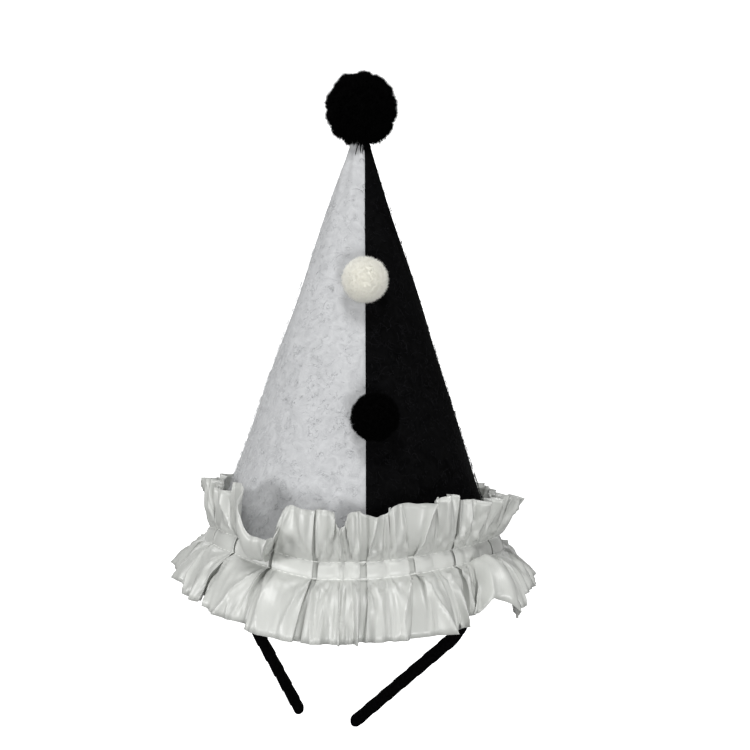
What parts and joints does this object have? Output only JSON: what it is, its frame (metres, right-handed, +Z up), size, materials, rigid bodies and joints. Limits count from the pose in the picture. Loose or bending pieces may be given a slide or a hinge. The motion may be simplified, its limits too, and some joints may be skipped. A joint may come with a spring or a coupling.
{
  "type": "mini clown hat headband",
  "caption": "Tall felt cone hat with white and black halves, pompoms and a gathered satin ruffle, fixed on a thin ribbon-wrapped headband.",
  "frame": {"origin": "on the underside of the headband's arch, under the middle of the cone, where the band rests on the head", "axes": "+Z up along the cone from its rim to its tip, -Y the front with the small pompoms, +X to the right in the picture; the headband's legs lean back towards +Y"},
  "size_m": [0.1807, 0.1836, 0.3566],
  "materials": {
    "white_felt": "matte, mottled short fibres",
    "black_felt": "matte, short fibres",
    "white_satin": "satin sheen along the folds",
    "black_ribbon": "dull wrapped ribbon",
    "black_yarn": "matte, tufted",
    "white_yarn": "matte, tufted"
  },
  "bodies": {
    "root": {"cone_white": "white_felt", "cone_black": "black_felt", "base_disc": "black_felt", "ruffle": "white_satin", "top_pompom": "black_yarn", "white_pompom": "white_yarn", "black_pompom": "black_yarn", "headband": "black_ribbon"}
  },
  "joints": []
}
